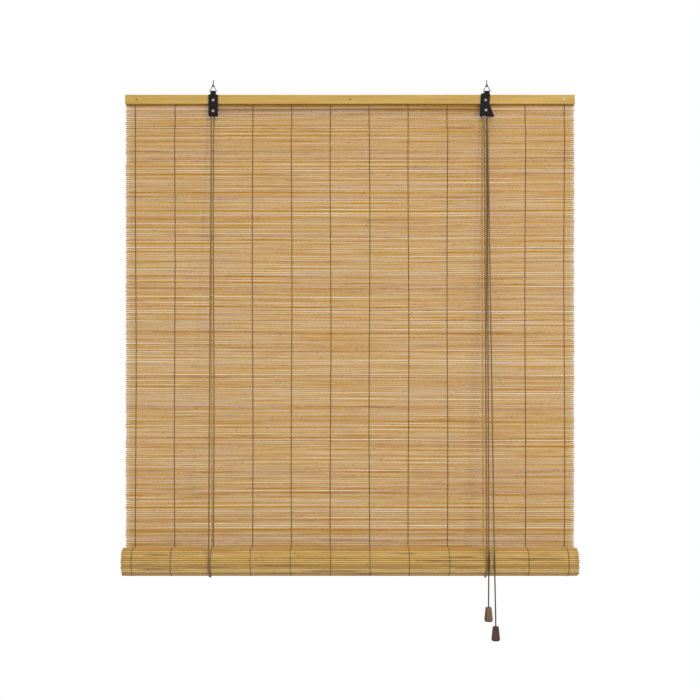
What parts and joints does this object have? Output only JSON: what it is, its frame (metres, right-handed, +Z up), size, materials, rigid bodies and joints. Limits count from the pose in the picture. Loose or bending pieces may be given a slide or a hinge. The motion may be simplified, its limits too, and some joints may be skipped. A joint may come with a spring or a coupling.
{
  "type": "bamboo roll-up blind",
  "caption": "Window blind of bamboo slats on a wooden head rail, partly rolled up from below, hung by leather tabs on hooks, with pull cords over pulleys and wooden tassels.",
  "frame": {"origin": "midway between the two hook screws, at the ceiling plane that they are driven into", "axes": "+Z up along the screws, +X to the right, the front of the blind faces -Y"},
  "size_m": [1, 0.0881, 1.2335],
  "materials": {
    "hook_steel": "dull zinc-grey wire",
    "ring_steel": "bright nickel wire",
    "leather": "black grained leather, cut edges",
    "rivet_steel": "polished nickel",
    "pulley_plastic": "off-white nylon",
    "rail_wood": "planed pale wood with straight grain",
    "nail_steel": "dull nail heads",
    "bamboo": "split bamboo, matt with a faint sheen",
    "warp_thread": "brown cotton thread",
    "brown_cord": "twisted brown cord",
    "tassel_wood": "dark stained turned wood"
  },
  "bodies": {
    "hooks": {"left_hook": "hook_steel", "right_hook": "hook_steel"},
    "rings": {"left_ring": "ring_steel", "right_ring": "ring_steel"},
    "blind": {"left_strap": "leather", "right_strap": "leather", "upper_rivets": "rivet_steel", "left_pulley_rivet": "rivet_steel", "right_pulley_rivet": "rivet_steel", "head_rail": "rail_wood", "back_batten": "rail_wood", "rail_nails": "nail_steel", "hanging_mat": "bamboo", "warp_threads": "warp_thread", "cord_staples": "rivet_steel", "anchor_knots": "brown_cord", "left_back_cord": "brown_cord", "right_back_cord": "brown_cord", "left_front_cord": "brown_cord", "right_front_cord": "brown_cord", "cross_cord": "brown_cord", "right_cord_bend": "brown_cord", "first_pull_cord": "brown_cord", "second_pull_cord": "brown_cord"},
    "slings": {"left_sling": "brown_cord", "right_sling": "brown_cord"},
    "roll": {"mat_roll": "bamboo", "roll_threads": "warp_thread", "bottom_bar": "rail_wood"},
    "first_pull": {"first_tail_cord": "brown_cord", "first_tassel": "tassel_wood", "first_knot": "brown_cord"},
    "second_pull": {"second_tail_cord": "brown_cord", "second_tassel": "tassel_wood", "second_knot": "brown_cord"},
    "left_wheel": {"left_pulley": "pulley_plastic"},
    "right_rear_wheel": {"right_rear_pulley": "pulley_plastic"},
    "right_front_wheel": {"right_front_pulley": "pulley_plastic"}
  },
  "joints": [
    {"name": "ring_swing", "type": "hinge", "parent": "hooks", "child": "rings", "pos_m": [0, -0.0036, -0.0038], "axis": [1, 0, 0], "range_deg": [-28, 28]},
    {"name": "blind_swing", "type": "hinge", "parent": "rings", "child": "blind", "pos_m": [0, -0.0036, -0.01922], "axis": [1, 0, 0], "range_deg": [-40, 40]},
    {"name": "roll_lift", "type": "slide", "parent": "blind", "child": "slings", "axis": [0, 0, 1], "range_m": [0, 0.94], "deforming": ["hanging_mat", "warp_threads", "left_back_cord", "right_back_cord", "left_front_cord", "right_front_cord", "first_pull_cord", "second_pull_cord"]},
    {"name": "roll_turn", "type": "hinge", "parent": "slings", "child": "roll", "pos_m": [0, -0.0231, -1.05804], "axis": [1, 0, 0], "continuous": true},
    {"name": "first_pull_drop", "type": "slide", "parent": "slings", "child": "first_pull", "axis": [0, 0, -1], "range_m": [0, 2.82], "deforming": ["first_tail_cord"]},
    {"name": "second_pull_drop", "type": "slide", "parent": "slings", "child": "second_pull", "axis": [0, 0, -1], "range_m": [0, 2.82], "deforming": ["second_tail_cord"]},
    {"name": "left_wheel_spin", "type": "hinge", "parent": "blind", "child": "left_wheel", "pos_m": [-0.304, -0.0036, -0.06222], "axis": [0, 1, 0], "continuous": true},
    {"name": "right_rear_wheel_spin", "type": "hinge", "parent": "blind", "child": "right_rear_wheel", "pos_m": [0.3015, -0.00115, -0.06072], "axis": [0, 1, 0], "continuous": true},
    {"name": "right_front_wheel_spin", "type": "hinge", "parent": "blind", "child": "right_front_wheel", "pos_m": [0.3015, -0.00605, -0.06072], "axis": [0, 1, 0], "continuous": true}
  ],
  "couplings": [
    {"joint": "roll_turn", "follows": "roll_lift", "rad_per_m": -26.737},
    {"joint": "first_pull_drop", "follows": "roll_lift", "ratio": 3},
    {"joint": "second_pull_drop", "follows": "roll_lift", "ratio": 3},
    {"joint": "left_wheel_spin", "follows": "roll_lift", "rad_per_m": 533.33},
    {"joint": "right_rear_wheel_spin", "follows": "roll_lift", "rad_per_m": 533.33},
    {"joint": "right_front_wheel_spin", "follows": "roll_lift", "rad_per_m": 533.33}
  ]
}
